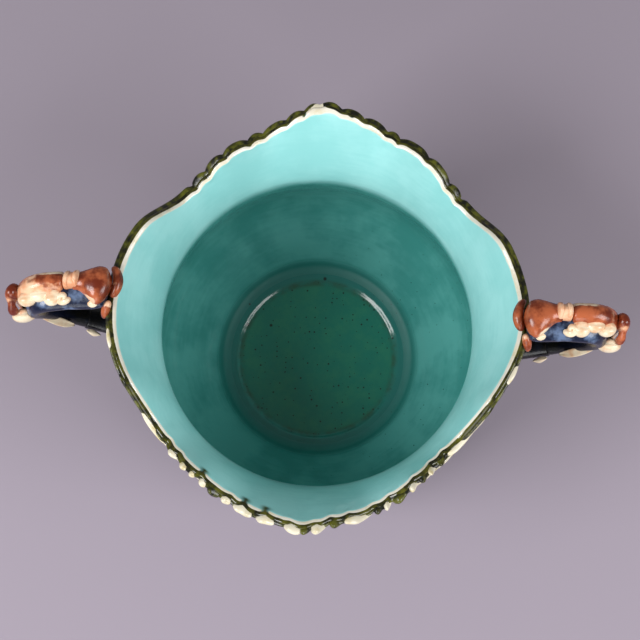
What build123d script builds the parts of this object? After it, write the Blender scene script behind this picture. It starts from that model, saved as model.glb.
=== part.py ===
from build123d import *
from math import cos, degrees, pi, radians, sin
import os

# A glazed earthenware cachepot in millimetres: base on z = 0, handles along X, front towards -Y.

# Bowl: round, bulging below the neck, with a dished floor
neck_radius = 89.0
neck_height = 112.0
belly_radius = 97.0
belly_height = 60.0
heel_radius = 62.0
heel_rise = 5.0
floor_radius = 51.0
floor_thickness = 7.0
wall = 6.0

# Foot ring under the bowl
foot_height = 7.0
foot_radius = 66.0
foot_width = 9.0
foot_hollow = 2.0

# Collar: flares from the round neck to a four-lobed mouth
# Its rim is level beside each handle, dips to both sides of it and rises to a crest in front and behind
rim_height = 163.0
rim_dip = 20.0
level_half_angle = 21.5
dip_fall_angle = 18.5
crest_height = 21.0
crest_half_angle = 30.0
shoulder_height = 11.0
shoulder_angle = 31.0
shoulder_half_angle = 16.0
mouth_radius = 104.0
lobe_rise = 4.0
oval_rise = 1.0
skew_rise = 1.7
lip_width = 4.0
flare_power = 1.5
outline_points = 72
bend_shares = (0.3, 0.65)

# Moulding below the lip: a flat band, then a thin roll under it
lip_stand = 2.5
band_width = 4.0
band_height = 9.0
roll_width = 5.2
roll_height = 3.5

# Rocaille scrolls laid on the band, at angles either side of the front and back peaks
scroll_angles = (-64.0, -50.0, -27.0, 0.0, 27.0, 50.0, 64.0)
scroll_length = 14.0
scroll_height_share = 0.75
scroll_proud = 3.0
scroll_tilt = 8.0

# Handles: two C-scrolls butted against a clasp, on the middle of each side
handle_tip = 164.0
root_below_neck = 26.0
handle_width = 19.0
handle_thickness = 14.0
clasp_length = 9.0
clasp_proud = 1.6
clasp_groove = 0.8
curl_radius = 5.5
curl_length = 17.0
curl_lap = 4.0
leaf_length = 14.0
leaf_height = 11.0
leaf_proud = 3.0

# Layer of slip between a piece and its seat
slip = 0.2

# Stations along a handle: along the reach, up or down the drop, width and thickness, each as a share
upper_scroll_shares = (
    (-0.04, 0.75, 0.85),
    (0.08, 0.95, 1.00),
    (0.16, 1.00, 1.00),
)
clasp_shares = (0.33, 0.85, 0.90)
outer_scroll_shares = (
    (0.55, 0.09, 1.00, 0.95),
    (0.74, 0.02, 0.95, 0.90),
    (0.85, -0.18, 0.90, 0.80),
    (0.85, -0.42, 0.88, 0.78),
    (0.70, -0.65, 0.85, 0.76),
)
lower_seam_shares = (0.45, -0.80, 0.82, 0.75)
root_scroll_shares = (
    (0.16, -0.90, 0.82, 0.78),
    (-0.12, -0.97, 0.95, 0.88),
    (-0.38, -1.00, 1.10, 0.98),
)
bend_leaf_shares = (0.82, -0.20, 0.92)
lower_leaf_shares = (0.60, -0.66)
lower_leaf_width_share = 0.70
lower_leaf_lift_share = 0.25
tip_curl_share = 0.01
curl_rise_share = 0.75

# Worked-out sizes
floor_top = foot_height + floor_thickness
collar_height = rim_height - neck_height
lip_reach = mouth_radius + lobe_rise - oval_rise
handle_base = lip_reach + lip_width
handle_reach = handle_tip - handle_base
handle_drop = collar_height + root_below_neck
strap_height = rim_height + handle_thickness / 2 + slip
band_top_share = 1 - lip_stand / collar_height
band_bottom_share = band_top_share - band_height / collar_height
roll_top_share = band_bottom_share - slip / collar_height
roll_bottom_share = roll_top_share - roll_height / collar_height


def bump(angle, centre, half_angle):
    """Smooth rise from 0 to 1 and back, within half_angle of the centre."""
    distance = abs(angle - centre)
    if distance >= half_angle:
        return 0.0
    return cos(pi / 2 * distance / half_angle) ** 2


def mouth_at(angle):
    """Inner radius of the mouth at an angle in degrees, with its four lobes, slightly oval and skewed."""
    turn = radians(angle)
    lobes = lobe_rise * cos(4 * turn) - oval_rise * cos(2 * turn)
    return mouth_radius + lobes + skew_rise * sin(2 * turn)


def rim_rise(angle):
    """Rise of the rim above its dips: level at the handles, a peak between two shoulders at each crest."""
    from_peak = abs(angle % 180 - 90)
    past_level = max(0, 90 - from_peak - level_half_angle)
    side = rim_dip * bump(past_level, 0, dip_fall_angle)
    peak = crest_height * bump(from_peak, 0, crest_half_angle)
    return side + peak + shoulder_height * bump(from_peak, shoulder_angle, shoulder_half_angle)


def ring_point(angle, level_share, offset):
    """Point round the collar: on the round neck at share 0, on the lobed and waved rim at share 1."""
    turn = radians(angle)
    flare = level_share ** flare_power
    radius = neck_radius + (mouth_at(angle) - neck_radius) * flare + offset
    height = neck_height + (collar_height - rim_dip + rim_rise(angle)) * level_share
    return Vector(radius * cos(turn), radius * sin(turn), height)


def outside_offset(level_share):
    """Thickness of the collar's wall, which thins from the neck to the lip."""
    return wall + (lip_width - wall) * level_share


def ring_curve(level_share, offset):
    """Closed curve round the collar at one level."""
    angles = [360 * index / outline_points for index in range(outline_points)]
    points = [ring_point(angle, level_share, offset) for angle in angles]
    return Wire(Spline(points, periodic=True))


def inside_curve(level_share):
    """Closed curve on the collar's inside."""
    return ring_curve(level_share, 0)


def outside_curve(level_share, proud=0):
    """Closed curve on the collar's outside, or standing proud of it."""
    return ring_curve(level_share, outside_offset(level_share) + proud)


def make_ring(*walls):
    """Closed ring with each wall lofted through its curves, starting where the last wall ends."""
    faces = []
    for curves in walls:
        faces.extend(Shell.make_loft(curves, ruled=len(curves) == 2).faces())
    return Solid(Shell(faces))


def make_collar():
    """Collar: inside, lip, straight stretches behind the moulding, outside and the seam at the neck."""
    inside = [inside_curve(share) for share in (0, *bend_shares, 1)]
    outside = [outside_curve(roll_bottom_share), outside_curve(bend_shares[0]), outside_curve(0)]
    lip = outside_curve(1)
    band_top = outside_curve(band_top_share)
    band_bottom = outside_curve(band_bottom_share)
    roll_top = outside_curve(roll_top_share)
    return make_ring(
        inside,
        [inside[-1], lip],
        [lip, band_top],
        [band_top, band_bottom],
        [band_bottom, roll_top],
        [roll_top, outside[0]],
        outside,
        [outside[-1], inside[0]],
    )


def make_strip(top_share, bottom_share, width):
    """Moulding strip on the collar's outside, between two levels."""
    back_top = outside_curve(top_share)
    back_bottom = outside_curve(bottom_share)
    front_top = outside_curve(top_share, width)
    front_bottom = outside_curve(bottom_share, width)
    return make_ring(
        [back_top, front_top],
        [front_top, front_bottom],
        [front_bottom, back_bottom],
        [back_bottom, back_top],
    )


def ellipsoid(length, width, height):
    """Ellipsoid about the origin with the given full sizes along X, Y and Z."""
    return scale(Sphere(1), by=(length / 2, width / 2, height / 2))


def half_leaf(length, height, proud):
    """Half ellipsoid with its flat back on the XY plane."""
    return split(ellipsoid(length, height, 2 * proud), bisect_by=Plane.XY)


def bowl_outside(extra):
    """Outside of the bowl's profile, from the foot to the neck, moved out by extra."""
    return Spline(
        (heel_radius + wall + extra, 0, foot_height),
        (belly_radius + wall + extra, 0, belly_height),
        (neck_radius + wall + extra, 0, neck_height),
        tangents=[(1, 0, 1), (0, 0, 1), (0, 0, 1)],
    )


def make_bowl():
    """Bowl turned from one profile: dished floor, bulging wall, flat top at the neck."""
    inside = Spline(
        (heel_radius, 0, floor_top + heel_rise),
        (belly_radius, 0, belly_height),
        (neck_radius, 0, neck_height),
        tangents=[(1, 0, 1), (0, 0, 1), (0, 0, 1)],
    )
    floor = Polyline(
        (0, 0, foot_height),
        (0, 0, floor_top),
        (floor_radius, 0, floor_top),
        (heel_radius, 0, floor_top + heel_rise),
    )
    outside = bowl_outside(0)
    top = Line(inside @ 1, outside @ 1)
    base = Line(outside @ 0, (0, 0, foot_height))
    return revolve(make_face([*floor.edges(), inside, top, outside, base]), axis=Axis.Z)


def make_bowl_core():
    """Bowl without its hollow and with a layer of slip, to cut a seat on its outside."""
    outside = bowl_outside(slip)
    rest = Polyline(outside @ 1, (0, 0, neck_height), (0, 0, foot_height), outside @ 0)
    return revolve(make_face([outside, *rest.edges()]), axis=Axis.Z)


def make_foot_ring():
    """Low ring under the bowl, drawn in by a hollow round its outside."""
    outer = ThreePointArc(
        (foot_radius, 0, 0),
        (foot_radius - foot_hollow, 0, foot_height / 2),
        (foot_radius, 0, foot_height),
    )
    rest = Polyline(
        (foot_radius, 0, foot_height),
        (foot_radius - foot_width, 0, foot_height),
        (foot_radius - foot_width, 0, 0),
        (foot_radius, 0, 0),
    )
    return revolve(make_face([outer, *rest.edges()]), axis=Axis.Z)


def band_edges(angle):
    """Points on the lower and upper edges of the band's outside."""
    low = ring_point(angle, band_bottom_share, outside_offset(band_bottom_share) + band_width)
    high = ring_point(angle, band_top_share, outside_offset(band_top_share) + band_width)
    return low, high


def make_rim_scrolls(facing_angle):
    """Row of tilted leaf scrolls with flat backs, bedded clear of the band at their middles and tips."""
    half_turn = degrees(scroll_length / 2 / lip_reach)
    scrolls = []
    for angle in scroll_angles:
        turned = facing_angle + angle
        low, high = band_edges(turned)
        middle = (low + high) / 2
        tips = [sum(band_edges(turned + end), Vector()) / 2 for end in (-half_turn, half_turn)]
        along = tips[1] - tips[0]
        outward = along.cross(high - low).normalized()
        bed = slip + max(0, *[(tip - middle).dot(outward) for tip in tips])
        seat = Plane(origin=middle + outward * bed, x_dir=along, z_dir=outward)
        lean = scroll_tilt * (angle > 0) - scroll_tilt * (angle < 0)
        scroll_height = (high - low).length * scroll_height_share
        scrolls.append(seat * Rot(Z=lean) * half_leaf(scroll_length, scroll_height, scroll_proud))
    return scrolls


def handle_point(x_share, z_share, y=0):
    """Point on the right handle's middle line, from shares of its reach and drop."""
    x = handle_base + handle_reach * x_share
    return Vector(x, y, rim_height + handle_drop * z_share)


def oval(place, along, width_share, thickness_share):
    """Oval section of the strap at a place, square to the way along."""
    plane = Plane(origin=place, x_dir=(0, 1, 0), z_dir=along)
    return plane * Ellipse(handle_width / 2 * width_share, handle_thickness / 2 * thickness_share)


def make_upper_scroll():
    """Boss that rests on the lip and runs level to the clasp."""
    clasp_x, clasp_wide, clasp_thick = clasp_shares
    end_x = handle_base + handle_reach * clasp_x - clasp_length / 2 - slip
    sections = []
    for x_share, wide, thick in upper_scroll_shares:
        place = Vector(handle_base + handle_reach * x_share, 0, strap_height)
        sections.append(oval(place, (1, 0, 0), wide, thick))
    sections.append(oval(Vector(end_x, 0, strap_height), (1, 0, 0), clasp_wide, clasp_thick))
    return loft(sections)


def make_clasp():
    """Grooved oval block between the upper and outer scrolls."""
    centre = handle_base + handle_reach * clasp_shares[0]
    half = clasp_length / 2
    sections = []
    for along, proud in ((-half, clasp_proud), (0, clasp_proud - clasp_groove), (half, clasp_proud)):
        plane = Plane(origin=(centre + along, 0, strap_height), x_dir=(0, 1, 0), z_dir=(1, 0, 0))
        sections.append(plane * Ellipse(handle_width / 2 + proud, handle_thickness / 2 + proud))
    return loft(sections)


def make_lower_scrolls():
    """Outer scroll, from the clasp round to a seam on the lower arm, and root scroll, on to the bowl."""
    clasp_x, clasp_wide, clasp_thick = clasp_shares
    start_x = handle_base + handle_reach * clasp_x + clasp_length / 2 + slip
    start = Vector(start_x, 0, strap_height)
    stations = (*outer_scroll_shares, lower_seam_shares, *root_scroll_shares)
    places = [start, *[handle_point(station[0], station[1]) for station in stations]]
    sections = [oval(start, (1, 0, 0), clasp_wide, clasp_thick)]
    for index, station in enumerate(stations, 1):
        after = places[min(index + 1, len(stations))]
        sections.append(oval(places[index], after - places[index - 1], station[2], station[3]))
    seam = len(outer_scroll_shares) + 1
    return loft(sections[: seam + 1]), loft(sections[seam:])


def make_side_leaves(side):
    """Leaf lobes with flat backs on one side of a handle: either side of the clasp and on the bend."""
    clasp_x = handle_base + handle_reach * clasp_shares[0]
    apart = clasp_length / 2 + slip + leaf_length / 2
    bend_x, bend_z, bend_wide = bend_leaf_shares
    strap_side = side * (handle_width / 2 + slip)
    places = (
        Vector(clasp_x - apart, strap_side, strap_height),
        Vector(clasp_x + apart, strap_side, strap_height),
        handle_point(bend_x, bend_z, side * (handle_width / 2 * bend_wide + slip)),
    )
    seats = [Plane(origin=place, x_dir=(1, 0, 0), z_dir=(0, side, 0)) for place in places]
    return [seat * half_leaf(leaf_length, leaf_height, leaf_proud) for seat in seats]


def make_lower_leaf():
    """Leaf lying on the lower arm, inside the loop."""
    place = handle_point(*lower_leaf_shares)
    along = handle_point(*lower_seam_shares[:2]) - place
    inward = Vector(0, 1, 0).cross(along).normalized()
    raised = place + inward * handle_thickness * lower_leaf_lift_share
    plane = Plane(origin=raised, x_dir=along, z_dir=inward)
    return plane * ellipsoid(leaf_length, handle_width * lower_leaf_width_share, leaf_height)


def make_curl(x, z):
    """Short roll across the handle, with rounded ends."""
    return Pos(x, 0, z) * ellipsoid(2 * curl_radius, curl_length, 2 * curl_radius)


def make_rim_curl():
    """Curl that lies flat on the lip, laps over its inside edge and stops short of the upper scroll."""
    curl = make_curl(lip_reach - curl_lap + curl_radius, rim_height + curl_radius * curl_rise_share)
    curl = split(curl, bisect_by=Plane((0, 0, rim_height + slip)))
    stop = handle_base + handle_reach * upper_scroll_shares[0][0] - slip
    return split(curl, bisect_by=Plane((stop, 0, 0), z_dir=(-1, 0, 0)))


def save(name, *shapes):
    """Write one node, made of one or more separate solids."""
    solids = [solid for shape in shapes for solid in shape.solids()]
    export_step(Compound(children=solids), f"parts/{name}.step")


os.makedirs("parts", exist_ok=True)

# Body of the pot, and the moulding round its rim
save("bowl", make_bowl())
save("foot_ring", make_foot_ring())
save("collar", make_collar())
save("rim_band", make_strip(band_top_share, band_bottom_share, band_width))
save("rim_roll", make_strip(roll_top_share, roll_bottom_share, roll_width))
save("front_scrolls", *make_rim_scrolls(-90))
save("back_scrolls", *make_rim_scrolls(90))

# Pieces of the right handle, and the left handle as their mirror image
outer_scroll, root_scroll = make_lower_scrolls()
root_scroll = root_scroll - make_bowl_core()
tip_curl = make_curl(handle_tip - curl_radius, rim_height + handle_drop * tip_curl_share)
handle_pieces = {
    "upper_scroll": [make_upper_scroll()],
    "clasp": [make_clasp()],
    "outer_scroll": [outer_scroll],
    "root_scroll": [root_scroll],
    "rim_curl": [make_rim_curl()],
    "tip_curl": [tip_curl - outer_scroll],
    "lower_leaf": [make_lower_leaf() - outer_scroll - root_scroll],
    "front_leaves": make_side_leaves(-1),
    "back_leaves": make_side_leaves(1),
}
for piece_name, pieces in handle_pieces.items():
    save(f"right_{piece_name}", *pieces)
    save(f"left_{piece_name}", *[mirror(piece, about=Plane.YZ) for piece in pieces])
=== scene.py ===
import bmesh
import bpy
import numpy as np
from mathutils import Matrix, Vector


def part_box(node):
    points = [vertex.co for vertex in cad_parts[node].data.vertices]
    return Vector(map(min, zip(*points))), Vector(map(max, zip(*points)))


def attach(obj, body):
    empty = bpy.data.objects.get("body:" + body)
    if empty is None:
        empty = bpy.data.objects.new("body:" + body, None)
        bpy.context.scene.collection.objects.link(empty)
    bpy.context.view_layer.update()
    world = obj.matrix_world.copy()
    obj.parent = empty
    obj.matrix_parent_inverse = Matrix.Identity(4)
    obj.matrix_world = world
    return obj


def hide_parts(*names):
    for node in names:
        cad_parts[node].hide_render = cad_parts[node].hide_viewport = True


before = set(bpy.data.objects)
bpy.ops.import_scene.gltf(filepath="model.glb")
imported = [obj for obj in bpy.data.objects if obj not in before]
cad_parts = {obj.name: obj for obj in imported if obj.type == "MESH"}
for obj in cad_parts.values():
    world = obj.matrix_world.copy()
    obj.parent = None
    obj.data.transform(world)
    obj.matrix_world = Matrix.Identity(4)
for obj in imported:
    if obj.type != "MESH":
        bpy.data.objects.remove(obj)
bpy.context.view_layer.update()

# Bowl: the round body of the pot, white earthenware turned on the wheel, with a dished floor.
# Turquoise glaze runs down its inside, darker below the neck as deeper glaze and painted shade, and pools
# dark on the floor, where dust and specks settled; the heel ring round the floor is darkened further as
# painted shade.
# The outside, below the moulding, is dipped in a dark blue and olive glaze.
bowl_low, bowl_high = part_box("bowl")
foot_height = bowl_low[2]
neck_height = bowl_high[2]
belly_outside = bowl_high[0]
wall = 0.006
neck_radius = 0.089
belly_height = 0.060
heel_radius = 0.062
heel_height = 0.019
floor_height = 0.014
floor_radius = 0.0485
floor_step = 0.0013
floor_edge_width = 0.004
shoulder_pull = 0.052
floor_rows = 40
edge_rows = 12
heel_rows = 20
low_wall_rows = 48
high_wall_rows = 32
underside_rows = 30
merge_distance = 1e-6
sliver_length = 1e-7
turn_count = 256


def srgb(red, green, blue):
    """Linear colour with alpha from screen values of 0 to 255."""
    share = np.array([red, green, blue]) / 255
    linear = np.where(share > 0.04045, ((share + 0.055) / 1.055) ** 2.4, share / 12.92)
    return (*linear, 1.0)


def hermite(start, end, leave, arrive, count):
    """Cubic curve between two points, with the directions in which it leaves and arrives."""
    t = np.linspace(0, 1, count)[:, None]
    first = (2 * t**3 - 3 * t**2 + 1) * np.array(start) + (t**3 - 2 * t**2 + t) * np.array(leave)
    return first + (3 * t**2 - 2 * t**3) * np.array(end) + (t**3 - t**2) * np.array(arrive)


def smooth(value, low, high):
    """Smooth step from 0 at low to 1 at high."""
    t = np.clip((value - low) / (high - low), 0, 1)
    return t * t * (3 - 2 * t)


def grid_piece(name, points, paints=(), wrap_rows=False, sharp_angle=50):
    """Piece from grids of points: quads between neighbours, poles merged, paints kept as attributes."""
    points = np.asarray(points, float)
    rows, columns = points.shape[-3:-1]
    grid = np.arange(points.size // 3).reshape(-1, rows, columns)
    below = np.roll(grid, -1, axis=1)
    quads = np.stack([grid, below, np.roll(below, -1, axis=2), np.roll(grid, -1, axis=2)], axis=-1)
    if not wrap_rows:
        quads = quads[:, :-1]
    mesh = bpy.data.meshes.new(name)
    mesh.from_pydata(points.reshape(-1, 3).tolist(), [], quads.reshape(-1, 4).tolist())
    for paint_name, values in dict(paints).items():
        amounts = np.broadcast_to(values, points.shape[:-1]).astype(np.float32).ravel()
        mesh.attributes.new(paint_name, "FLOAT", "POINT").data.foreach_set("value", amounts)
    shape = bmesh.new()
    shape.from_mesh(mesh)
    bmesh.ops.remove_doubles(shape, verts=shape.verts, dist=merge_distance)
    bmesh.ops.dissolve_degenerate(shape, edges=shape.edges, dist=sliver_length)
    bmesh.ops.recalc_face_normals(shape, faces=shape.faces)
    shape.to_mesh(mesh)
    shape.free()
    mesh.shade_smooth()
    mesh.set_sharp_from_angle(angle=np.radians(sharp_angle))
    piece = bpy.data.objects.new(name, mesh)
    bpy.context.scene.collection.objects.link(piece)
    return piece


def finish(piece, material, slot, *nodes):
    """Give a piece its glaze and fix it to the pot in place of the named solids."""
    piece.data.materials.append(material)
    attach(piece, "root")
    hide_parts(*nodes)


def level_line(start, stop, height, count):
    """Level run of a profile between two radii at one height."""
    return np.stack([np.linspace(start, stop, count), np.full(count, height)], axis=-1)


def turn_profile(profile):
    """Surface of revolution: each profile point (radius, height) carried round the Z axis."""
    angle = np.linspace(0, 2 * np.pi, turn_count, endpoint=False)
    radius = profile[:, None, 0]
    height = profile[:, None, 1] + 0 * angle
    return np.stack([radius * np.cos(angle), radius * np.sin(angle), height], axis=-1)


def new_glaze(name, roughness, coat=0.0):
    """Material of one glossy glaze, and its node tree."""
    material = bpy.data.materials.new(name)
    material.use_nodes = True
    shader = material.node_tree.nodes["Principled BSDF"]
    shader.inputs["Roughness"].default_value = roughness
    shader.inputs["IOR"].default_value = 1.5
    shader.inputs["Coat Weight"].default_value = coat
    shader.inputs["Coat Roughness"].default_value = 0.04
    return material, material.node_tree


def add(tree, kind, inputs=(), **settings):
    """New node. Each input is a value or another node's output."""
    made = tree.nodes.new(kind)
    for key, value in settings.items():
        setattr(made, key, value)
    for key, value in dict(inputs).items():
        if isinstance(value, bpy.types.NodeSocket):
            tree.links.new(value, made.inputs[key])
        else:
            made.inputs[key].default_value = value
    return made


def place_of(tree):
    """Place on the pot, in metres."""
    return add(tree, "ShaderNodeTexCoord").outputs["Object"]


def clouds(tree, scale, detail=3.0, roughness=0.55, offset=(0, 0, 0), stretch=(1, 1, 1)):
    """Soft noise about 0.5, with features about 1/scale metres wide."""
    moved = add(tree, "ShaderNodeMapping", {0: place_of(tree), "Location": offset, "Scale": stretch})
    inputs = {"Vector": moved.outputs[0], "Scale": scale, "Detail": detail, "Roughness": roughness}
    return add(tree, "ShaderNodeTexNoise", inputs).outputs[0]


def step(tree, value, low, high):
    """Smooth step of a value, from 0 at low to 1 at high."""
    inputs = {"Value": value, "From Min": low, "From Max": high}
    return add(tree, "ShaderNodeMapRange", inputs, interpolation_type="SMOOTHSTEP").outputs[0]


def sums(tree, operation, first, second):
    """One sum of two values."""
    return add(tree, "ShaderNodeMath", {0: first, 1: second}, operation=operation).outputs[0]


def product(tree, *values):
    """Product of two or more values."""
    result = values[0]
    for value in values[1:]:
        result = sums(tree, "MULTIPLY", result, value)
    return result


def vectors(tree, operation, first, second=(0, 0, 0)):
    """One sum of two vectors, as its node."""
    return add(tree, "ShaderNodeVectorMath", {0: first, 1: second}, operation=operation)


def paint(tree, name):
    """Painted amount stored on the mesh."""
    return add(tree, "ShaderNodeAttribute", attribute_name=name).outputs["Fac"]


def layer(tree, amount, under, over):
    """One colour laid over another by an amount of 0 to 1."""
    return add(tree, "ShaderNodeMix", {0: amount, 6: under, 7: over}, data_type="RGBA").outputs[2]


speck_edge = 0.05


def specks(tree, scale, size, share, offset=(0, 0, 0), dimensions="3D"):
    """Round specks of uneven size, in a share of the cells of a random grid, flat where it is 2D."""
    moved = add(tree, "ShaderNodeMapping", {0: place_of(tree), "Location": offset})
    inputs = {"Vector": moved.outputs[0], "Scale": scale}
    cells = add(tree, "ShaderNodeTexVoronoi", inputs, voronoi_dimensions=dimensions)
    random = add(tree, "ShaderNodeSeparateColor", {0: cells.outputs["Color"]})
    reach = product(tree, random.outputs[1], size)
    dots = step(tree, sums(tree, "SUBTRACT", reach, cells.outputs["Distance"]), 0.0, speck_edge)
    return product(tree, dots, sums(tree, "LESS_THAN", random.outputs[0], share))


def ripple(tree, height, distance, strength=1.0):
    """Slight unevenness of the fired glaze, as bump on the shader."""
    bump = add(tree, "ShaderNodeBump", {"Height": height, "Distance": distance, "Strength": strength})
    shader = tree.nodes["Principled BSDF"]
    tree.links.new(bump.outputs[0], shader.inputs["Normal"])
    tree.links.new(bump.outputs[0], shader.inputs["Coat Normal"])


def set_colour(tree, colour):
    """Colour of the glaze."""
    tree.links.new(colour, tree.nodes["Principled BSDF"].inputs["Base Color"])


def round_place(tree):
    """Direction round the axis, radius, X and height of a place, for patterns that follow the wheel."""
    flat = vectors(tree, "MULTIPLY", place_of(tree), (1, 1, 0)).outputs[0]
    radius = vectors(tree, "LENGTH", flat).outputs["Value"]
    direction = vectors(tree, "NORMALIZE", flat).outputs[0]
    split = add(tree, "ShaderNodeSeparateXYZ", {0: place_of(tree)})
    return direction, radius, split.outputs[0], split.outputs[2]


def turning_lines(tree, scale, length):
    """Fine streaks round the axis, as left by the brush while the pot was turned."""
    direction, radius, right, height = round_place(tree)
    lift = add(tree, "ShaderNodeCombineXYZ", {2: radius}).outputs[0]
    spread = vectors(tree, "MULTIPLY", direction, (length, length, length)).outputs[0]
    place = vectors(tree, "ADD", spread, lift).outputs[0]
    inputs = {"Vector": place, "W": height, "Scale": scale, "Detail": 3.0}
    return add(tree, "ShaderNodeTexNoise", inputs, noise_dimensions="4D").outputs[0]


glaze_roughness = 0.12
heel_dulling = 0.40
neck_fade = (neck_height - 0.008, neck_height + 0.005)
floor_fade = (0.0545, 0.0475)
floor_depth = (0.024, 0.018)
heel_fade = (0.0665, 0.0615)
heel_depth = (0.034, 0.022)
dull_start = (0.0545, 0.0585)
grime_inner = (0.0470, 0.0500)
grime_outer = (0.0535, 0.0510)
pore_depth = (0.100, 0.080)
pore_side = (-0.02, 0.08)
foot_olive = (0.052, 0.030)
rim_olive = (0.128, 0.146)


def turquoise(tree, broad, lines, height):
    """Pale turquoise above the neck and a darker one below it, partly deeper glaze and partly painted shade
    inside the bowl, uneven as brushed glaze is.
    """
    tone = sums(tree, "ADD", product(tree, broad, 0.85), product(tree, lines, 0.15))
    collar_tone = layer(tree, step(tree, tone, 0.36, 0.64), srgb(150, 216, 215), srgb(168, 228, 227))
    # Bowl tone: deeper glaze, darkened further as painted shade for the inside of the bowl below the neck.
    bowl_tone_and_shade = layer(tree, step(tree, tone, 0.38, 0.62), srgb(64, 140, 134), srgb(88, 162, 156))
    rise = sums(tree, "ADD", height, product(tree, broad, 0.008))
    return layer(tree, step(tree, rise, *neck_fade), bowl_tone_and_shade, collar_tone)


def floor_glaze(tree, colour, mottle, radius, heel, low, on_floor):
    """Heel ring darkened as painted shade, mottled green floor and a ring of grime between them, laid over a
    colour.
    """
    # Painted shade: the heel ring between floor and wall is darkened towards deep teal.
    colour = layer(tree, product(tree, heel, 0.85), colour, srgb(14, 106, 98))
    floor_tone = layer(tree, step(tree, mottle, 0.40, 0.66), srgb(26, 122, 104), srgb(42, 130, 104))
    colour = layer(tree, on_floor, colour, floor_tone)
    ring = product(tree, step(tree, radius, *grime_inner), step(tree, radius, *grime_outer), low)
    grime = product(tree, ring, step(tree, mottle, 0.35, 0.65), 0.55)
    return layer(tree, grime, colour, srgb(48, 52, 28))


def dirt(tree, low, on_floor, right, height):
    """Dust and larger blots that settled on the floor, and pinholes, most of them on the right wall."""
    dust = product(tree, specks(tree, 290, 0.20, 0.40, dimensions="2D"), on_floor)
    blots = product(tree, specks(tree, 62, 0.10, 0.30, (0.0, 0.3, 0), "2D"), low)
    settled = sums(tree, "MAXIMUM", dust, blots)
    pores = product(tree, specks(tree, 520, 0.26, 0.16, (0.4, 0.2, 0)), step(tree, height, *pore_depth))
    share = sums(tree, "ADD", step(tree, right, *pore_side), 0.15)
    return sums(tree, "MINIMUM", sums(tree, "MAXIMUM", settled, product(tree, pores, share, 0.6)), 0.9)


def outside_ground(tree, fine, height):
    """Dark blue outside, with olive that runs down from the rim and up from the foot."""
    cloudy = step(tree, clouds(tree, 45, detail=5), 0.4, 0.65)
    ground = layer(tree, cloudy, srgb(14, 24, 60), srgb(28, 50, 98))
    runs = sums(tree, "ADD", height, product(tree, clouds(tree, 60, stretch=(1, 1, 0.25)), 0.04))
    olive = layer(tree, step(tree, fine, 0.35, 0.7), srgb(26, 28, 6), srgb(84, 84, 22))
    bands = sums(tree, "MAXIMUM", step(tree, runs, *foot_olive), step(tree, runs, *rim_olive))
    return layer(tree, bands, ground, olive)


def pot_glaze():
    """Turquoise inside, paler on the collar and darker in the bowl as deeper glaze and painted shade, cream
    on the lip, dark outside.
    """
    material, tree = new_glaze("pot glaze", glaze_roughness)
    direction, radius, right, height = round_place(tree)
    broad = clouds(tree, 26, detail=4)
    fine = clouds(tree, 170, detail=3, offset=(0.3, 0.1, 0))
    mottle = clouds(tree, 75, detail=7, roughness=0.7, offset=(0.2, 0, 0))
    lines = turning_lines(tree, 420, 0.012)
    low = step(tree, height, *floor_depth)
    on_floor = product(tree, step(tree, radius, *floor_fade), low)
    heel = product(tree, step(tree, radius, *heel_fade), step(tree, height, *heel_depth))
    inside = turquoise(tree, broad, lines, height)
    inside = floor_glaze(tree, inside, mottle, radius, heel, low, on_floor)
    inside = layer(tree, dirt(tree, low, on_floor, right, height), inside, srgb(10, 20, 14))
    colour = layer(tree, paint(tree, "inside"), outside_ground(tree, fine, height), inside)
    ragged = product(tree, sums(tree, "SUBTRACT", fine, 0.5), 0.7)
    lip = step(tree, sums(tree, "ADD", paint(tree, "lip"), ragged), 0.30, 0.70)
    lip_tone = layer(tree, step(tree, mottle, 0.45, 0.75), srgb(232, 226, 212), srgb(214, 202, 164))
    set_colour(tree, layer(tree, lip, colour, lip_tone))
    dull = product(tree, heel, step(tree, radius, *dull_start), heel_dulling)
    roughness = sums(tree, "ADD", dull, glaze_roughness)
    tree.links.new(roughness, tree.nodes["Principled BSDF"].inputs["Roughness"])
    surface = sums(tree, "ADD", broad, product(tree, lines, 0.05))
    ripple(tree, sums(tree, "ADD", surface, product(tree, fine, 0.08)), 0.0012, 0.5)
    return material


pot_material = pot_glaze()
heel_outside = heel_radius + wall
floor_rim = (floor_radius + floor_edge_width, floor_height + floor_step)
heel_inner = (heel_radius, heel_height)
belly_inner = (belly_outside - wall, belly_height)
neck_inner = (neck_radius, neck_height)
neck_outer = (neck_radius + wall, neck_height)
belly_outer = (belly_outside, belly_height)
heel_outer = (heel_outside, foot_height)
floor_line = level_line(0, floor_radius, floor_height, floor_rows)
floor_edge = hermite((floor_radius, floor_height), floor_rim, (0.006, 0), (0.004, 0.0018), edge_rows)
heel_band = hermite(floor_rim, heel_inner, (0.008, 0.0036), (0.006, 0.007), heel_rows)
wall_in_low = hermite(heel_inner, belly_inner, (0.044, 0.050), (0, 0.046), low_wall_rows)
wall_in_high = hermite(belly_inner, neck_inner, (0, shoulder_pull), (0, shoulder_pull), high_wall_rows)
wall_out_high = hermite(neck_outer, belly_outer, (0, -shoulder_pull), (0, -shoulder_pull), high_wall_rows)
wall_out_low = hermite(belly_outer, heel_outer, (0, -0.056), (-0.044, -0.046), low_wall_rows)
underside = level_line(heel_outside, 0, foot_height, underside_rows)
inner_runs = (floor_line, floor_edge[1:], heel_band[1:], wall_in_low[1:], wall_in_high[1:])
inner_profile = np.concatenate(inner_runs)
outer_profile = np.concatenate([wall_out_high, wall_out_low[1:], underside[1:]])
bowl_profile = np.concatenate([inner_profile, outer_profile])
bowl_inside = np.arange(len(bowl_profile)) < len(inner_profile)
bowl = grid_piece("bowl_body", turn_profile(bowl_profile), {"inside": bowl_inside[:, None], "lip": 0.0})
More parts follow.
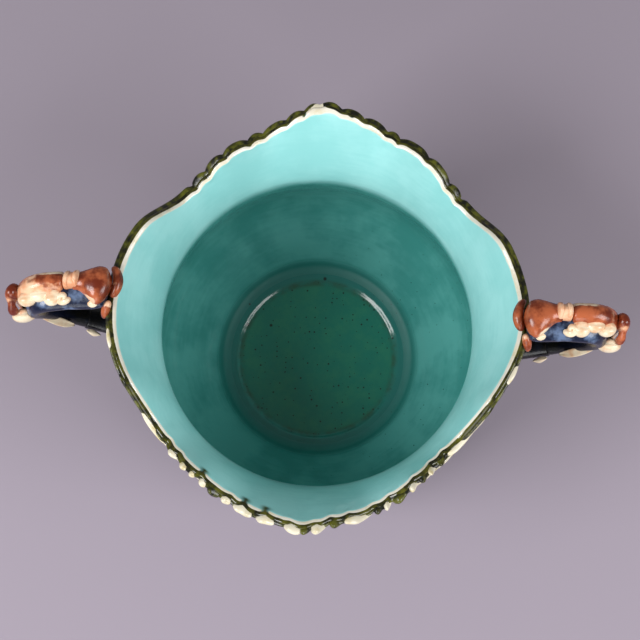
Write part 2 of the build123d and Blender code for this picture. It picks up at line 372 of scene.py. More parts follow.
finish(bowl, pot_material, "turquoise_glaze", "bowl")

# Foot ring: a low turned ring luted under the bowl, drawn in round its outside.
# It takes the olive glaze of the lower wall, and its underside is wiped bare to stand on.
foot_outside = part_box("foot_ring")[1][0]
foot_width = 0.009
foot_hollow = 0.002
foot_sides = 64
foot_squareness = 0.35
worn_edge = (0.0024, 0.0014)


def foot_glaze():
    """Dark olive glaze, worn to cream clay along the bottom edge."""
    material, tree = new_glaze("foot glaze", 0.22, coat=0.2)
    height = add(tree, "ShaderNodeSeparateXYZ", {0: place_of(tree)}).outputs[2]
    mottle = clouds(tree, 120, detail=5)
    colour = layer(tree, step(tree, mottle, 0.38, 0.66), srgb(34, 36, 8), srgb(84, 84, 22))
    worn = sums(tree, "ADD", height, product(tree, mottle, 0.002))
    set_colour(tree, layer(tree, step(tree, worn, *worn_edge), colour, srgb(214, 200, 172)))
    ripple(tree, mottle, 0.0008, 0.4)
    return material


foot_turn = np.linspace(0, 2 * np.pi, foot_sides, endpoint=False)
foot_across = np.sign(np.cos(foot_turn)) * np.abs(np.cos(foot_turn)) ** foot_squareness
foot_up = np.sign(np.sin(foot_turn)) * np.abs(np.sin(foot_turn)) ** foot_squareness
foot_waist = foot_hollow * (foot_across > 0) * (1 - foot_up**2)
foot_profile = np.stack([
    foot_outside - foot_width / 2 + foot_width / 2 * foot_across - foot_waist,
    foot_height / 2 * (1 + foot_up),
], axis=-1)
foot_ring = grid_piece("turned_foot", turn_profile(foot_profile), wrap_rows=True, sharp_angle=70)
finish(foot_ring, foot_glaze(), "olive_glaze", "foot_ring")

# Collar: the upper wall, pressed from a round neck out to a four-lobed mouth.
# Its rim is level at the handles, dips beside them and rises to a nicked crest in front and behind.
# The lip is rounded and shows the cream body where the glazes stop short of each other.
crest_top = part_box("collar")[1][2]
crest_height = 0.021
crest_half_angle = 30
shoulder_height = 0.011
shoulder_angle = 31
shoulder_half_angle = 16
level_half_angle = 21.5
dip_fall_angle = 18.5
rim_dip = 0.020
dip_height = crest_top - crest_height
collar_height = dip_height + rim_dip - neck_height
mouth_mean = 0.104
lobe_rise = 0.0040
oval_rise = 0.0010
skew_rise = 0.0017
pinch_reach = 0.0024
pinch_half_angle = 9
pinched_peaks = (92.0, 270.0)
peak_angle = 92.4
peak_width = 0.65
peak_left = 3.2
peak_right = 0.4
flare_power = 1.5
lip_width = 0.004
neck_lap = 0.015
nick_depth = 0.0008
nick_width = 1.5
nick_angles = np.array([
    -46.0, -40.7, -31.5, -21.3, -17.2, -10.0, -3.5, 2.6, 7.1, 12.4, 19.7, 24.7, 33.4, 40.5, 46.0,
])
deep_nicks = np.array([-21.3, -6.3, 7.1, 12.4, 24.7])
dab_angles = np.array([-31.6, -17.1, -10.8])
deep_nick_width = 0.8
dab_width = 1.2
inside_rows = 42
lip_rows = 17
outside_rows = 30
ring_count = 1080
ring_angle = np.linspace(0, 360, ring_count, endpoint=False)[None, :]


def hump(angle, centre, half_angle):
    """Raised cosine about a centre, 0 beyond half_angle."""
    share = np.clip(np.abs(angle - centre) / half_angle, 0, 1)
    return np.cos(np.pi / 2 * share) ** 2


def bell(value, centre, width):
    """Smooth bump of height 1 about a centre."""
    return np.exp(-(((value - centre) / width) ** 2))


def from_peak(angle):
    """Degrees from the nearer of the front and back peaks, positive on its right as seen from outside."""
    return np.mod(angle, 180) - 90


def spots(angle, centres, width):
    """Sum of bells about the centres, in degrees from the nearer peak."""
    return bell(from_peak(angle)[..., None], centres, width).sum(axis=-1)


def rim_rise(angle):
    """Rise of the rim above its dips: level at the handles, a peak between two shoulders at each crest."""
    beside = np.abs(from_peak(angle))
    side = rim_dip * hump(np.maximum(90 - beside - level_half_angle, 0), 0, dip_fall_angle)
    shoulders = shoulder_height * hump(beside, shoulder_angle, shoulder_half_angle)
    return side + shoulders + crest_height * hump(beside, 0, crest_half_angle)


def mouth(angle):
    """Inner radius of the mouth: mean, four lobes, a skew, pinched peaks and the unevenness of handwork."""
    turned = np.radians(angle)
    pinch = pinch_reach * sum(hump(np.mod(angle, 360), peak, pinch_half_angle) for peak in pinched_peaks)
    lobes = lobe_rise * np.cos(4 * turned) - oval_rise * np.cos(2 * turned) + skew_rise * np.sin(2 * turned)
    handwork = 0.0004 * np.sin(5 * turned + 1.0) + 0.0003 * np.sin(11 * turned + 2.0)
    return mouth_mean + lobes + pinch + handwork


def cream_peak(angle, spread):
    """Cream that runs out over the back peak: a bell, widened on its left by a spread of 0 to 1."""
    beyond = np.mod(angle, 360) - peak_angle
    return bell(beyond, 0, peak_width + spread * np.where(beyond > 0, peak_left, peak_right))


def ring_points(angle, level, offset):
    """Points round the collar: the round neck at level 0, the lobed, waved and nicked rim at level 1."""
    turned = np.radians(angle)
    nick = nick_depth * spots(angle, nick_angles, nick_width) * smooth(level, 0.88, 1.0)
    radius = neck_radius + (mouth(angle) - neck_radius) * np.maximum(level, 0) ** flare_power + offset - nick
    height = neck_height + (dip_height - neck_height + rim_rise(angle)) * level - nick
    return np.stack(np.broadcast_arrays(radius * np.cos(turned), radius * np.sin(turned), height), axis=-1)


def wall_at(level):
    """Thickness of the collar, which thins from the neck to the lip."""
    return wall + (lip_width - wall) * level


lip_turn = np.linspace(0, np.pi, lip_rows)
lip_drop = lip_width / 2 / collar_height
inside_levels = np.linspace(-neck_lap, 1 - lip_drop, inside_rows)
outside_levels = np.linspace(1 - lip_drop, -neck_lap, outside_rows)
lip_levels = 1 - lip_drop * (1 - np.sin(lip_turn))
collar_levels = np.concatenate([inside_levels, lip_levels[1:-1], outside_levels])[:, None]
collar_offsets = np.concatenate([
    0 * inside_levels,
    lip_width / 2 * (1 - np.cos(lip_turn[1:-1])),
    wall_at(outside_levels),
])[:, None]
lip_place = np.concatenate([
    (inside_levels - inside_levels[-1]) / lip_drop,
    lip_turn[1:-1],
    np.pi + (outside_levels[0] - outside_levels) / lip_drop,
])[:, None]
towards_front = smooth(-np.sin(np.radians(ring_angle)), -0.3, 0.6)
at_nick = np.minimum(spots(ring_angle, deep_nicks, deep_nick_width), 1)
cream_start = 0.42 + 0.05 * towards_front
cream_stop = 1.18 - 0.28 * towards_front + 2.2 * cream_peak(ring_angle, 1.0)
cream_from = smooth(lip_place, cream_start - 0.5, cream_start + 0.3)
cream_until = smooth(lip_place, cream_stop + 0.3, cream_stop)
dabs = spots(ring_angle, dab_angles, dab_width) * smooth(lip_place, -2.2, -1.0) * (towards_front > 0.9)
no_dab = 1 - np.minimum(dabs, 1)
lip_paint = cream_from * cream_until * (1 - 0.9 * at_nick * smooth(lip_place, 0.7, 1.3))
collar_inside = smooth(lip_place, cream_stop, cream_stop - 0.2) * (1 - at_nick * smooth(lip_place, 0.7, 1.1))
collar = grid_piece(
    "flared_collar",
    ring_points(ring_angle, collar_levels, collar_offsets),
    {"inside": collar_inside * no_dab, "lip": lip_paint * no_dab},
    wrap_rows=True,
)
finish(collar, pot_material, "turquoise_glaze", "collar")

# Rim band: a strip of moulding pressed on outside the lip, in dark olive glaze.
# Its edge swells into a leaf lobe between each pair of nicks and runs plain along the sides.
# Behind, the cream of the lip runs out over it in a point at the peak.
band_top = 0.0010
band_bottom = 0.0115
band_width = 0.0046 - 0.0022 * towards_front
band_sides = 32
band_squareness = 0.6
ridge_proud = 0.0004
plain_arch = 0.6


def rim_glaze():
    """Olive glaze that runs off the raised parts, which stay cream, and gathers in the hollows."""
    material, tree = new_glaze("rim glaze", 0.28, coat=0.12)
    streaks = clouds(tree, 210, detail=4)
    olive = layer(tree, step(tree, streaks, 0.38, 0.66), srgb(14, 16, 2), srgb(92, 94, 22))
    bare = clouds(tree, 150, offset=(0.1, 0, 0))
    cream = layer(tree, step(tree, bare, 0.45, 0.75), srgb(232, 224, 200), srgb(206, 190, 136))
    ragged = product(tree, sums(tree, "SUBTRACT", streaks, 0.5), 0.8)
    amount = step(tree, sums(tree, "ADD", paint(tree, "cream"), ragged), 0.40, 0.62)
    set_colour(tree, layer(tree, amount, olive, cream))
    ripple(tree, streaks, 0.0008, 0.4)
    return material


def rim_section(angle, drop, out):
    """Points at the rim: drop below the lip and out from the collar's outside, both in metres."""
    level = 1 - drop / collar_height
    return ring_points(angle, level, wall_at(level) + out)


def lobe_arch(angle):
    """Arch over each scallop lobe: 0 at its nicks and 1 between them, and even along the plain sides."""
    beside = from_peak(angle)
    number = np.clip(np.searchsorted(nick_angles, beside) - 1, 0, len(nick_angles) - 2)
    share = (beside - nick_angles[number]) / np.diff(nick_angles)[number]
    arch = np.sin(np.pi * np.clip(share, 0, 1)) ** 0.5
    past = np.maximum(nick_angles[0] - beside, beside - nick_angles[-1])
    return np.where(past > 0, plain_arch * smooth(past, 0, 2), arch)


rim_material = rim_glaze()
band_turn = np.linspace(0, 2 * np.pi, band_sides, endpoint=False)[:, None]
band_bulge = np.sign(np.cos(band_turn)) * np.abs(np.cos(band_turn)) ** band_squareness
band_swell = band_width * (0.50 + 0.50 * lobe_arch(ring_angle))
band_out = np.maximum(band_bulge, -0.2) * band_swell
band_drop = (band_top + band_bottom) / 2 - (band_bottom - band_top) / 2 * np.sin(band_turn)
band_ridge = cream_peak(ring_angle, np.clip(0.9 - 1.3 * band_bulge, 0, 1))
band = grid_piece(
    "leaf_moulding",
    rim_section(ring_angle, band_drop, band_out + ridge_proud * band_ridge * (band_bulge > 0)),
    {"cream": np.maximum(band_ridge, 0.18 * lobe_arch(ring_angle) * smooth(np.sin(band_turn), 0.9, 0.2))},
    wrap_rows=True,
)
finish(band, rim_material, "olive_glaze", "rim_band")

# Rim roll: a thin rolled fillet under the band, cream where the olive glaze has run off it.
# It is a rope of clay laid in the angle below the band and smoothed down.
roll_drop = 0.0135
roll_radius = 0.0021
roll_out = 0.0028
roll_beats = 46
roll_sides = 20
roll_turn = np.linspace(0, 2 * np.pi, roll_sides, endpoint=False)[:, None]
roll_swell = roll_radius * (1 + 0.10 * np.sin(np.radians(ring_angle) * roll_beats))
roll_points = rim_section(
    ring_angle,
    roll_drop - 0.85 * roll_swell * np.sin(roll_turn),
    np.maximum(roll_out + roll_swell * np.cos(roll_turn), 0.0),
)
roll_paint = {"cream": 0.30 + 0.45 * smooth(np.cos(roll_turn), 0.0, 0.9)}
roll = grid_piece("rolled_fillet", roll_points, roll_paint, wrap_rows=True)
finish(roll, rim_material, "cream_glaze", "rim_roll")

# Front and back scrolls: sprigs pressed in a mould and stuck along the band with slip.
# Plump leaf scrolls crowd the crest, olive ones lie between them, and long thin ones run down the sides.
# In front they are wiped to cream. Behind, olive is left on their tops.
scroll_spans = np.array([
    (-83.0, -71.0, 1.6, 0.9),
    (-70.0, -59.0, 1.2, 0.3),
    (-58.0, -46.0, 1.8, 0.9),
    (-44.6, -40.2, 2.2, 0.9),
    (-39.0, -35.9, 2.4, 0.9),
    (-35.1, -32.7, 2.2, 0.9),
    (-31.6, -28.7, 2.6, 0.9),
    (-28.4, -24.2, 2.8, 0.1),
    (-23.8, -20.6, 2.7, 0.9),
    (-20.2, -13.7, 3.0, 0.9),
    (-13.1, -7.4, 3.0, 0.9),
    (-5.2, -0.2, 3.2, 1.0),
    (-1.0, 2.0, 2.4, 0.0),
    (1.8, 6.3, 3.1, 0.8),
    (6.8, 10.4, 2.6, 0.0),
    (10.6, 19.4, 2.7, 0.9),
    (19.4, 22.2, 2.5, 0.1),
    (22.3, 24.9, 2.6, 0.9),
    (25.2, 30.4, 2.8, 0.1),
    (30.6, 34.3, 2.5, 0.9),
    (34.5, 37.9, 2.2, 0.2),
    (38.1, 41.6, 2.4, 0.9),
    (42.0, 46.0, 2.0, 0.3),
    (46.0, 58.0, 1.8, 0.9),
    (59.0, 70.0, 1.2, 0.3),
    (71.0, 83.0, 1.6, 0.9),
])
scroll_drop = 0.0026
scroll_out = 0.0006
scroll_sway = 0.0008
scroll_taper = 0.22
scroll_rows = 49
scroll_sides = 20
millimetre = 0.001


def scroll_row(facing, wiped_top, sunk, size):
    """Tapered sausages along the rim about a peak, each swaying up and down like a flat S.

    A span holds its first and last angle from the peak, its half width in millimetres and how bare it is.
    """
    start, stop, half, bare = (column[:, None, None] for column in scroll_spans.T)
    along = np.linspace(-1, 1, scroll_rows)[None, :, None]
    turned = np.linspace(0, 2 * np.pi, scroll_sides, endpoint=False)[None, None, :]
    plump = np.sqrt(np.clip(1 - along**2, 0, 1)) * (1 - scroll_taper * along * np.sign(start))
    fat = half * size * millimetre * plump
    drop = scroll_drop + sunk + scroll_sway * np.sin(np.pi * along) - 1.15 * fat * np.sin(turned)
    out = scroll_out + fat * np.cos(turned)
    angle = facing + (start + stop) / 2 + (stop - start) / 2 * along
    angle, drop, out = np.broadcast_arrays(angle, drop, out)
    top = smooth(np.sin(turned), 0.3, 0.9)
    side = smooth(np.cos(turned), -0.5, 0.1)
    cream = bare * (0.25 + 0.75 * plump) * np.maximum(side * (1 - top * (1 - wiped_top)), top * wiped_top)
    return rim_section(angle, drop, out), np.broadcast_to(cream, angle.shape)


front_row = ("front_scrolls", -90, 1.0, 0.0, 1.0)
back_row = ("back_scrolls", 90, 0.0, 0.0035, 0.9)
for row_name, *row_form in (front_row, back_row):
    row_points, row_bare = scroll_row(*row_form)
    sprigs = grid_piece("sprig_" + row_name, row_points, {"cream": row_bare})
    finish(sprigs, rim_material, "cream_glaze", row_name)

# Handles: press-moulded C-scrolls, one on each side, luted to the lip above and the shoulder below.
# A cobalt body carries a raised rust-brown ridge, which a peach clasp ties at its waist.
# The glazes are brushed on by hand, so their edges are ragged; the near-black ground left on undersides and
# in hollows is partly navy glaze and partly painted shade.
clasp_low, clasp_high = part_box("right_clasp")
handle_corner = np.array([mouth(0) + lip_width, 0, (clasp_low[2] + clasp_high[2]) / 2])
slew_back = 0.0042
slew_slope = 0.16
slew_bottom = -0.055
slew_top = -0.012
tube_rows = 96
tube_sides = 40
tube_turn = np.linspace(0, 2 * np.pi, tube_sides, endpoint=False)[None, :]


def handle_glaze():
    """Near-black ground, partly navy glaze and partly painted shade, then cobalt, rust, cream and peach
    where each was brushed on.
    """
    material, tree = new_glaze("handle glaze", 0.26, coat=0.12)
    streaks = clouds(tree, 150, detail=4)
    flow = clouds(tree, 120, detail=4, offset=(0.2, 0.4, 0))
    ragged = sums(tree, "SUBTRACT", clouds(tree, 260, detail=3, offset=(0.5, 0, 0)), 0.5)
    ragged = product(tree, ragged, 0.7)
    # Ground left on undersides and in hollows: navy glaze darkened to near black as painted shade.
    colour = layer(tree, step(tree, streaks, 0.45, 0.75), srgb(6, 7, 12), srgb(20, 26, 40))
    cobalt = layer(tree, step(tree, flow, 0.46, 0.70), srgb(10, 22, 50), srgb(98, 118, 152))
    rust = layer(tree, step(tree, flow, 0.38, 0.64), srgb(106, 36, 12), srgb(182, 96, 58))
    cream = layer(tree, step(tree, streaks, 0.42, 0.72), srgb(242, 226, 196), srgb(230, 184, 142))
    peach = layer(tree, step(tree, streaks, 0.36, 0.66), srgb(240, 196, 160), srgb(224, 156, 114))
    for name, tone in (("cobalt", cobalt), ("rust", rust), ("cream", cream), ("peach", peach)):
        amount = step(tree, sums(tree, "ADD", paint(tree, name), ragged), 0.36, 0.64)
        colour = layer(tree, amount, colour, tone)
    set_colour(tree, colour)
    ripple(tree, streaks, 0.0008, 0.35)
    return material


def through(stations, count):
    """Smooth path through stations: Catmull-Rom spans in every column, sampled evenly."""
    stations = np.asarray(stations, float)
    first = 2 * stations[:1] - stations[1:2]
    last = 2 * stations[-1:] - stations[-2:-1]
    padded = np.concatenate([first, stations, last])
    along = np.linspace(0, len(stations) - 1, count)
    span = np.minimum(along.astype(int), len(stations) - 2)
    t = (along - span)[:, None]
    before, start, end, after = (padded[span + shift] for shift in range(4))
    bend = (2 * before - 5 * start + 4 * end - after) * t**2 + (3 * start - before - 3 * end + after) * t**3
    return 0.5 * (2 * start + (end - before) * t + bend)


def round_off(distance, reach):
    """Quarter circle from 0 at an end to 1 at the reach."""
    return np.sqrt(1 - (1 - np.clip(distance / reach, 0, 1)) ** 2)


def tube(stations, start_cap, stop_cap, across=(0, 1, 0), cup=0.0):
    """Oval tube, round at its ends. A station: out, back and up from the corner, half width, half depth."""
    rows = through(np.array(stations) * millimetre, tube_rows)
    centre = handle_corner + rows[:, :3]
    ahead = np.gradient(centre, axis=0)
    ahead = ahead / np.linalg.norm(ahead, axis=1, keepdims=True)
    side = np.array(across, float)[None, :]
    outward = np.cross(ahead, side)
    outward = outward / np.linalg.norm(outward, axis=1, keepdims=True)
    run = np.concatenate([[0], np.cumsum(np.linalg.norm(np.diff(centre, axis=0), axis=1))])
    cap = round_off(run, start_cap * millimetre) * round_off(run[-1] - run, stop_cap * millimetre)
    wide = (rows[:, 3] * cap)[:, None] * np.cos(tube_turn)
    deep = (rows[:, 4] * cap)[:, None] * np.sin(tube_turn)
    deep = deep + cup * millimetre * cap[:, None] * np.cos(tube_turn) ** 2
    return centre[:, None] + side[:, None] * wide[..., None] + outward[:, None] * deep[..., None]


eye_shrink = 0.72
crease_depth = 0.16
crease_width = 0.35


def volute(place, first_axis, second_axis, coil, turns, half_width, half_depth):
    """Rolled end: a tube on a spiral in the plane of two axes, shrinking with it towards the eye."""
    first = np.array(first_axis, float)
    second = np.array(second_axis, float)
    t = np.linspace(0, 1, tube_rows)
    shrink = 1 - eye_shrink * t
    swing = 2 * np.pi * turns * t
    spoke = np.cos(swing)[:, None] * first + np.sin(swing)[:, None] * second
    centre = handle_corner + millimetre * (np.array(place) + (coil * shrink)[:, None] * spoke)
    cap = round_off(t, 0.08) * round_off(1 - t, 0.06)
    wide = (half_width * shrink**0.5 * cap)[:, None] * np.cos(tube_turn) * millimetre
    deep = (half_depth * shrink * cap)[:, None] * np.sin(tube_turn) * millimetre
    return centre[:, None] + np.cross(first, second) * wide[..., None] + spoke[:, None] * deep[..., None]


def leaf_lobe(place, half_sizes):
    """Plump lobe: an ellipsoid along X with a crease pressed into its upper side."""
    run = np.linspace(-np.pi / 2, np.pi / 2, tube_rows)[:, None]
    press = 1 - crease_depth * np.cos(run) * bell(tube_turn, np.pi / 2, crease_width)
    round_x = np.sin(run) + 0 * tube_turn
    round_y = np.cos(run) * np.cos(tube_turn) * press
    round_z = np.cos(run) * np.sin(tube_turn) * press
    shape = np.stack([round_x, round_y, round_z], axis=-1)
    return handle_corner + millimetre * (np.array(place) + np.array(half_sizes) * shape)


handle_material = handle_glaze()
no_paint = np.zeros((tube_rows, tube_sides))
length_share = np.linspace(0, 1, tube_rows)[:, None] + no_paint
facing_out = np.sin(tube_turn) + no_paint
facing_back = np.cos(tube_turn) + no_paint


def both_handles(name, slot, shapes):
    """One piece of the right handle from shapes and paints, and of the left: mirrored, its top slewed."""
    points = np.stack([shape for shape, paints in shapes])
    out = points[..., 0] - handle_corner[0]
    up = points[..., 2] - handle_corner[2]
    slew = (slew_back - slew_slope * out) * smooth(up, slew_bottom, slew_top)
    left_points = np.stack([-points[..., 0], points[..., 1] + slew, points[..., 2]], axis=-1)
    for side, placed in (("right", points), ("left", left_points)):
        glazes = {}
        for glaze in ("cobalt", "rust", "cream", "peach"):
            own = f"{side}_{glaze}"
            amounts = [paints.get(own, paints.get(glaze, no_paint)) for shape, paints in shapes]
            glazes[glaze] = np.stack(amounts)
        piece = grid_piece(f"{side}_handle_{name}", placed, glazes)
        finish(piece, handle_material, slot, f"{side}_{name}")


# Upper scroll: the boss that rests on the lip, swelling and then drawn in to the clasp.
# It is modelled over the cobalt body, rust on top and paler along its front edge.
boss = tube(
    (
        (-3.6, 1.0, -1.0, 5.6, 4.6),
        (-0.2, 1.2, -0.2, 8.8, 6.2),
        (3.2, 0.9, 0.3, 10.3, 6.8),
        (6.6, 1.8, 0.1, 9.0, 6.4),
        (10.0, 3.2, -0.3, 6.9, 5.6),
        (13.4, 4.2, -0.4, 5.2, 5.0),
        (17.0, 4.6, -0.4, 4.6, 4.8),
    ),
    4.0,
    1.0,
)
upper_body = tube(
    (
        (-1.5, -1.2, -2.8, 8.2, 4.0),
        (4.0, -1.2, -3.8, 9.4, 4.8),
        (12.0, -0.9, -4.4, 9.2, 5.0),
        (19.5, -0.5, -4.6, 8.8, 5.0),
    ),
    3.0,
    1.0,
)
boss_edge = smooth(facing_back, -0.60, -0.95) * bell(length_share, 0.48, 0.16)
boss_paint = {
    "rust": smooth(facing_out, -0.7, -0.3),
    "cream": 0.9 * boss_edge,
    "left_peach": 0.8 * boss_edge,
}
# Cobalt on the top and sides; the underside is left near-black as painted shade.
body_paint = {"cobalt": smooth(facing_out, -0.75, -0.35)}
both_handles("upper_scroll", "rust_glaze", [(boss, boss_paint), (upper_body, body_paint)])

# Clasp: two rounded ribs and a sleeve that seem to tie the scrolls together at their waist.
# Peach glaze, thin on the ribs.
clasp_ribs = [
    tube(
        (
            (start, 5.3, -0.3, 4.7, 8.1),
            (start + 2.2, 5.3, -0.3, 4.9, 8.3),
            (start + 4.4, 5.3, -0.3, 4.7, 8.1),
        ),
        1.9,
        1.9,
    )
    for start in (12.7, 17.2)
]
sleeve = tube(
    ((13.0, 5.0, -0.4, 4.5, 7.2), (17.2, 5.0, -0.4, 4.5, 7.4), (21.6, 5.0, -0.4, 4.5, 7.2)),
    1.0,
    1.0,
)
# Peach on the upper half; the lower half is left near-black as painted shade.
clasp_paint = {"peach": smooth(facing_out, -0.5, 0.0)}
both_handles("clasp", "peach_glaze", [(shape, clasp_paint) for shape in (*clasp_ribs, sleeve)])

# Outer scroll: carries on from the clasp, over the top and down the outside to the lower arm.
# Its ridge is rust with a pale strip along its back edge, and breaks to cream below the bend.
# On the left handle peach was brushed over most of it.
ridge = tube(
    (
        (21.0, 4.8, -0.6, 5.0, 4.6),
        (24.2, 4.9, -0.4, 5.6, 5.6),
        (29.5, 4.9, -0.2, 5.8, 6.0),
        (35.5, 4.7, -1.2, 6.0, 5.9),
        (41.0, 4.2, -5.0, 6.2, 5.4),
        (45.2, 3.4, -13.0, 6.0, 5.0),
        (46.6, 2.4, -24.0, 5.8, 4.6),
        (46.0, 2.2, -38.0, 5.6, 4.4),
        (40.5, 2.4, -53.0, 5.4, 4.3),
        (32.0, 2.2, -64.0, 5.4, 4.3),
        (24.0, 1.8, -69.0, 5.6, 4.4),
    ),
    2.0,
    2.0,
)
outer_body = tube(
    (
        (17.5, -0.5, -4.6, 8.8, 4.8),
        (24.5, -0.5, -4.6, 9.0, 5.0),
        (31.5, -0.5, -5.6, 9.0, 5.0),
        (37.5, -0.5, -10.5, 8.8, 4.6),
        (41.2, -0.3, -21.0, 8.6, 4.4),
        (41.5, 0.6, -36.0, 7.6, 4.2),
        (36.5, 1.6, -51.0, 7.0, 4.2),
        (30.0, 2.0, -61.0, 6.8, 4.4),
        (22.5, 1.6, -67.5, 7.0, 4.8),
    ),
    1.0,
    1.0,
)
on_top = smooth(facing_out, -0.1, 0.3)
back_strip = smooth(facing_back, 0.42, 0.70) * smooth(length_share, 0.33, 0.24) * on_top
end_line = bell(length_share, 0.37, 0.03) * on_top
far_end = smooth(length_share, 0.20, 0.30)
ridge_paint = {
    "rust": smooth(facing_out, -0.2, 0.1) * smooth(length_share, 0.52, 0.42),
    "cream": np.maximum(0.66 * back_strip, smooth(length_share, 0.46, 0.56) * on_top),
    "peach": 0.5 * end_line,
    "left_peach": on_top * (0.10 + 0.40 * smooth(facing_back, 0.2, -0.4) + 0.40 * far_end),
}
# Cobalt fades out along the arm, which is left near-black beyond, partly as painted shade.
arm_paint = {"cobalt": body_paint["cobalt"] * smooth(length_share, 0.56, 0.36)}
both_handles("outer_scroll", "rust_glaze", [(ridge, ridge_paint), (outer_body, arm_paint)])

# Root scroll: the lower arm, flattened where it is luted to the shoulder of the bowl.
# Navy glaze lies thick on it, and it is darkened almost to black as painted shade.
root = tube(
    (
        (24.0, 1.6, -68.5, 7.2, 5.0),
        (9.0, 0.6, -76.0, 7.8, 5.4),
        (-5.0, 0.0, -81.5, 9.2, 6.0),
        (-13.5, 0.0, -83.5, 10.0, 6.6),
    ),
    1.5,
    1.5,
)
# Near-black root: navy glaze with painted shade, a little cobalt on its sides.
both_handles("root_scroll", "navy_glaze", [(root, {"cobalt": 0.3 * smooth(np.abs(facing_back), 0.5, 0.8)})])

# Curls: a crescent and a drop of clay that lap over the lip, and a rolled tip at the far end.
# Rust glaze, with peach painted on as highlights where they catch the light.
rim_crescent = tube(
    (
        (-2.2, 11.6, -4.4, 1.6, 1.4),
        (-4.8, 8.2, -3.6, 2.6, 2.2),
        (-6.1, 3.0, -3.0, 3.4, 2.8),
        (-5.4, -1.6, -3.2, 3.0, 2.6),
        (-3.2, -5.2, -4.2, 2.0, 1.8),
    ),
    2.0,
    2.0,
    across=(0, 0, 1),
)
rim_drop = tube(
    (
        (-2.2, -6.6, -4.8, 1.8, 1.6),
        (-0.8, -9.6, -6.0, 2.8, 2.4),
        (0.2, -12.6, -8.0, 2.4, 2.1),
        (0.8, -15.0, -10.0, 1.2, 1.1),
    ),
    1.6,
    1.6,
    across=(0, 0, 1),
)
# Painted highlight: peach across the middle of the crescent.
curl_shine = bell(length_share, 0.62, 0.12)
crescent_paint = {"rust": no_paint + 1, "peach": 0.40 * curl_shine, "left_peach": 0.50 * curl_shine}
# Painted highlight: peach at the upper end of the drop.
drop_paint = {"rust": no_paint + 1, "peach": 0.60 * smooth(length_share, 0.55, 0.25)}
both_handles("rim_curl", "rust_glaze", [(rim_crescent, crescent_paint), (rim_drop, drop_paint)])

tip_curl = tube(
    (
        (46.6, 6.6, -5.0, 2.4, 2.0),
        (49.2, 4.4, -4.8, 4.0, 3.2),
        (49.7, 1.2, -5.4, 4.2, 3.3),
        (50.0, -2.4, -8.5, 2.8, 2.0),
        (49.8, -5.2, -12.0, 3.2, 2.5),
        (48.8, -7.6, -14.5, 1.8, 1.6),
    ),
    2.0,
    2.0,
    across=(0, 0, 1),
)
# Painted highlight: peach across the middle of the tip curl.
tip_paint = {"rust": no_paint + 1, "peach": 0.55 * bell(length_share, 0.52, 0.10)}
both_handles("tip_curl", "rust_glaze", [(tip_curl, tip_paint)])

# Leaves: cream lobes pressed along both sides of the scroll, the front one rolled round an eye.
# A long cupped leaf and a short one lie on the lower arm.
# Cream on the top and sides of each lobe, peach on its back; the underside is left near-black as painted
# shade.
lobe_paint = {"cream": smooth(facing_out, -0.8, -0.4), "peach": 0.55 * smooth(facing_back, -0.5, 0.3)}
# The eye at the end of the spiral is left near-black as painted shade in its hollow.
eye_paint = {"cream": smooth(length_share, 0.98, 0.88)}
front_lobes = [
    (volute((21.4, -3.7, 0.2), (-1, 0, 0), (0, -0.82, -0.57), 2.6, 1.25, 2.6, 2.5), eye_paint),
    (leaf_lobe((26.6, -2.6, -0.6), (4.8, 5.0, 4.2)), lobe_paint),
    (leaf_lobe((33.4, -0.8, -0.8), (5.6, 4.0, 4.6)), lobe_paint),
    (leaf_lobe((40.2, -1.6, -3.4), (5.2, 4.4, 4.8)), lobe_paint),
    (leaf_lobe((45.8, -7.0, -20.0), (6.2, 4.0, 6.6)), lobe_paint),
    (leaf_lobe((5.4, -7.0, -3.0), (4.0, 3.2, 3.6)), lobe_paint),
]
both_handles("front_leaves", "cream_glaze", front_lobes)

back_lobes = [
    (leaf_lobe((5.0, 8.0, -4.6), (5.4, 3.0, 3.8)), lobe_paint),
    (leaf_lobe((22.5, 8.2, -5.0), (5.4, 2.8, 3.8)), lobe_paint),
    (leaf_lobe((32.5, 8.4, -5.2), (5.6, 3.2, 4.2)), lobe_paint),
    (leaf_lobe((40.0, 7.8, -8.0), (4.8, 3.0, 4.2)), lobe_paint),
    (leaf_lobe((45.5, 6.8, -20.0), (5.2, 3.2, 6.4)), lobe_paint),
]
both_handles("back_leaves", "cream_glaze", back_lobes)

long_leaf = tube(
    (
        (27.0, -5.8, -59.0, 0.6, 0.9),
        (33.0, -5.7, -54.5, 2.6, 1.5),
        (40.0, -4.7, -48.0, 2.4, 1.5),
        (45.5, -3.6, -42.0, 0.6, 0.9),
    ),
    1.5,
    1.5,
    across=(0, -0.87, -0.5),
    cup=-1.0,
)
short_leaf = tube(
    ((21.5, -7.6, -66.0, 0.5, 0.8), (18.0, -8.4, -68.5, 2.0, 1.1), (14.0, -8.8, -71.0, 0.5, 0.8)),
    1.2,
    1.2,
    across=(0, -0.87, -0.5),
    cup=-0.6,
)
leaf_paint = {"cream": no_paint + 1}
both_handles("lower_leaf", "cream_glaze", [(long_leaf, leaf_paint), (short_leaf, leaf_paint)])

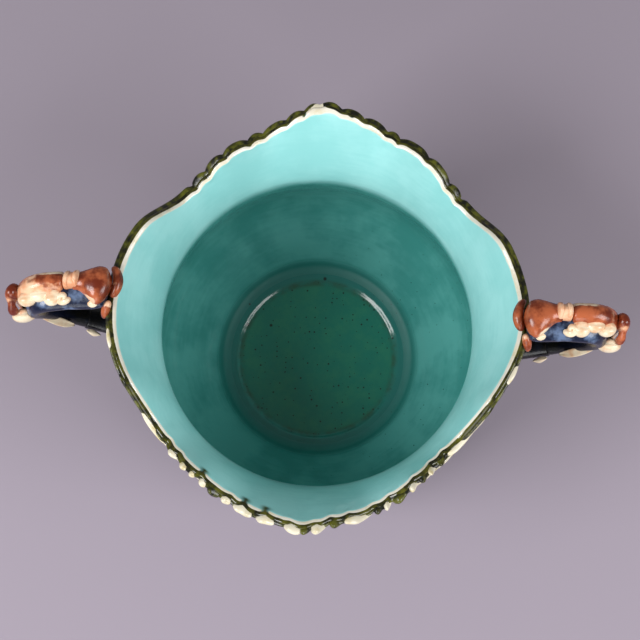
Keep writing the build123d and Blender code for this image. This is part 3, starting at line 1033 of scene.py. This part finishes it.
# Studio: a plain pale floor, soft boxes on the left, on the right and in front, and a faint even surround.
# The camera looks down into the pot from the front, turned a little towards its right side.
half_floor = 1.5
pot_middle = (0, 0, 0.1)
surround_strength = 0.22
floor_mesh = bpy.data.meshes.new("floor")
floor_corners = [(x * half_floor, y * half_floor, 0) for x, y in ((-1, -1), (1, -1), (1, 1), (-1, 1))]
floor_mesh.from_pydata(floor_corners, [], [(0, 1, 2, 3)])
floor = bpy.data.objects.new("floor", floor_mesh)
bpy.context.scene.collection.objects.link(floor)
floor_material = bpy.data.materials.new("pale floor")
floor_material.use_nodes = True
floor_shader = floor_material.node_tree.nodes["Principled BSDF"]
floor_shader.inputs["Base Color"].default_value = srgb(160, 150, 163)
floor_shader.inputs["Roughness"].default_value = 0.9
floor_mesh.materials.append(floor_material)

world = bpy.data.worlds.new("surround")
world.use_nodes = True
world.node_tree.nodes["Background"].inputs["Color"].default_value = (1, 1, 1, 1)
world.node_tree.nodes["Background"].inputs["Strength"].default_value = surround_strength
bpy.context.scene.world = world


def soft_box(name, place, target, size, power):
    """Square area lamp at a place, turned to face a target."""
    lamp = bpy.data.lights.new(name, "AREA")
    lamp.energy = power
    lamp.size = size
    lamp_object = bpy.data.objects.new(name, lamp)
    lamp_object.location = place
    facing = np.array(place) - np.array(target)
    level = np.hypot(facing[0], facing[1])
    lamp_object.rotation_euler = (np.arctan2(level, facing[2]), 0, np.arctan2(facing[0], -facing[1]))
    bpy.context.scene.collection.objects.link(lamp_object)


soft_box("left soft box", (-0.80, -0.42, 0.96), pot_middle, 0.6, 12.5)
soft_box("right soft box", (0.85, -0.38, 0.76), pot_middle, 0.6, 8.0)
soft_box("front soft box", (-0.10, -1.15, 0.46), pot_middle, 0.7, 4.0)

camera_azimuth = 3.5
camera_tilt = 11.67
camera_setback = 0.1280
camera_sidestep = 0.0017
camera_height = 0.7567
focal_pixels = 1150.0
image_pixels = 640.0
sensor_width = 36.0
camera_data = bpy.data.cameras.new("camera")
camera_data.sensor_width = sensor_width
camera_data.lens = focal_pixels / image_pixels * sensor_width
camera = bpy.data.objects.new("camera", camera_data)
turn_to = np.radians(camera_azimuth)
camera.location = (
    camera_setback * np.sin(turn_to) + camera_sidestep * np.cos(turn_to),
    -camera_setback * np.cos(turn_to) + camera_sidestep * np.sin(turn_to),
    camera_height,
)
camera.rotation_euler = (np.radians(camera_tilt), 0, turn_to)
bpy.context.scene.collection.objects.link(camera)
bpy.context.scene.camera = camera
bpy.context.scene.view_settings.view_transform = "Standard"
